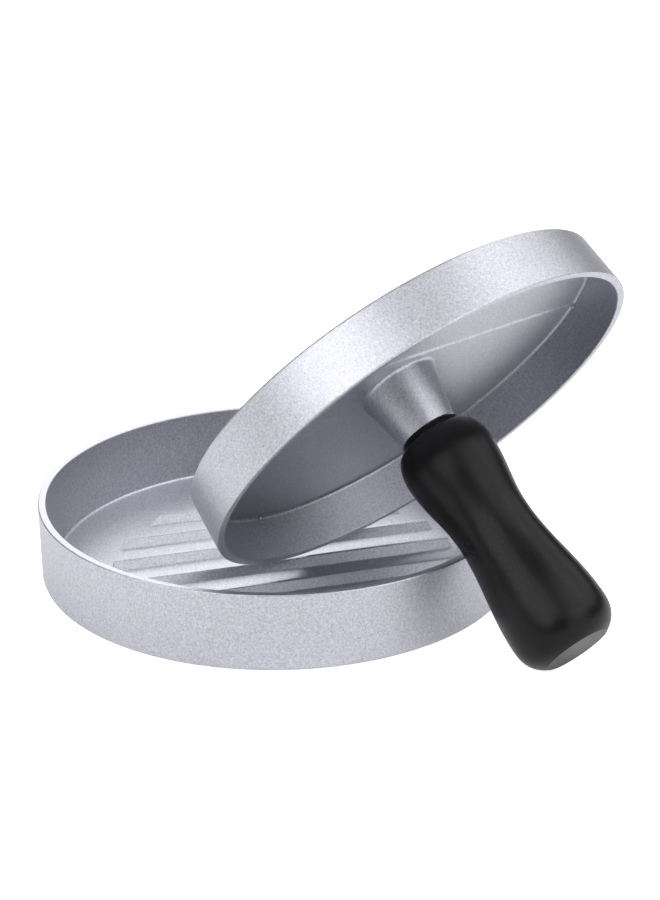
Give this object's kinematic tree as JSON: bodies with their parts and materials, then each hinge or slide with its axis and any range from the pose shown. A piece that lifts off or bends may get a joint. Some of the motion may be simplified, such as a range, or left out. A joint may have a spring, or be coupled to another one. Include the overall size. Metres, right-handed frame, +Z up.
{
  "type": "patty press",
  "caption": "Round cast aluminium press for meat patties: a ridged pan with a matching press plate and a turned black grip, shown leaning in the pan.",
  "frame": {"origin": "centre of the pan's flat underside", "axes": "+Z up; the camera side is -Y, and the grip points towards +X and -Y, down to the table"},
  "size_m": [0.1437, 0.1335, 0.1009],
  "materials": {
    "cast_aluminium": "matte as cast",
    "black_plastic": "satin",
    "stud_steel": "bright zinc",
    "bush_brass": "turned"
  },
  "bodies": {
    "pan": {"base_pan": "cast_aluminium"},
    "press": {"press_plate": "cast_aluminium", "handle_stud": "stud_steel"},
    "bush": {"handle_bush": "bush_brass"},
    "grip": {"handle_grip": "black_plastic"}
  },
  "joints": [
    {"name": "press_lift", "type": "slide", "parent": "pan", "child": "press", "axis": [0, 0, 1], "range_m": [0, 0.1]},
    {"name": "grip_back_off", "type": "slide", "parent": "press", "child": "bush", "axis": [0.514, -0.579, -0.6329], "range_m": [0, 0.01]},
    {"name": "grip_unscrew", "type": "hinge", "parent": "bush", "child": "grip", "pos_m": [0.03481, -0.02701, 0.04882], "axis": [0.514, -0.579, -0.6329], "range_deg": [0, 2880]}
  ],
  "couplings": [
    {"joint": "grip_unscrew", "follows": "grip_back_off", "rad_per_m": 5026.5}
  ]
}
